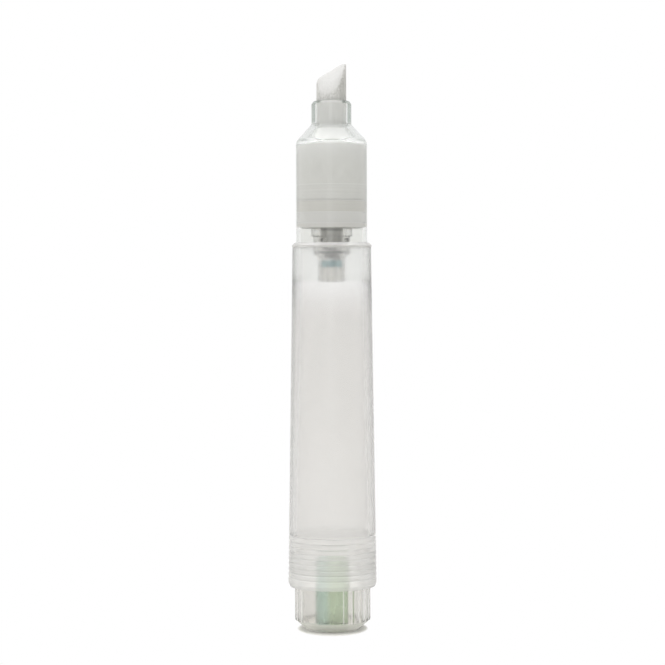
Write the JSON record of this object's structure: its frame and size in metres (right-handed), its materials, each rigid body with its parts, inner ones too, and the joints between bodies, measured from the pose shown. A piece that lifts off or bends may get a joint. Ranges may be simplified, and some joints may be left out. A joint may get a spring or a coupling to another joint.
{
  "type": "pump marker",
  "caption": "Empty refillable pump marker with a chisel felt nib on a spring valve, a clear nose, a frosted tapered barrel and a fluted tail plug that pulls out for filling.",
  "frame": {"origin": "centre of the flat foot of the tail plug, on the surface that the marker stands on", "axes": "+Z along the marker from the tail to the nib, +X towards the nib's high corner"},
  "size_m": [0.0212, 0.0212, 0.1355],
  "materials": {
    "frosted_barrel": "frosted translucent",
    "clear_plastic": "clear, faintly green",
    "hazy_plastic": "hazy clear",
    "white_felt": "pressed felt",
    "white_plastic": "satin",
    "milky_plastic": "milky",
    "grey_plastic": "satin",
    "pale_rubber": "matt",
    "clear_rubber": "clear silicone",
    "dark_rubber": "matt",
    "teal_rubber": "matt",
    "spring_steel": "drawn wire",
    "green_plastic": "tinted translucent"
  },
  "bodies": {
    "barrel": {"barrel": "frosted_barrel", "nose_cone": "clear_plastic", "nib_guide": "white_plastic", "spacer_ring": "milky_plastic", "valve_gasket": "pale_rubber", "valve_body": "milky_plastic", "valve_spring": "spring_steel", "spring_seat": "teal_rubber", "valve_cap": "milky_plastic"},
    "nib": {"nib": "white_felt"},
    "plunger": {"valve_plunger": "grey_plastic", "plunger_seal": "dark_rubber"},
    "tail": {"tail_plug": "hazy_plastic", "tail_seal": "clear_rubber", "tail_core": "green_plastic"}
  },
  "joints": [
    {"name": "nib_press", "type": "slide", "parent": "barrel", "child": "nib", "axis": [0, 0, -1], "range_m": [0, 0.0025], "stiffness_N_per_m": 500, "springref_m": -0.0003},
    {"name": "plunger_travel", "type": "slide", "parent": "barrel", "child": "plunger", "axis": [0, 0, -1], "range_m": [0, 0.0025], "deforming": ["valve_spring"]},
    {"name": "tail_pull", "type": "slide", "parent": "barrel", "child": "tail", "axis": [0, 0, -1], "range_m": [0, 0.009]}
  ],
  "couplings": [
    {"joint": "plunger_travel", "follows": "nib_press", "ratio": 1}
  ]
}
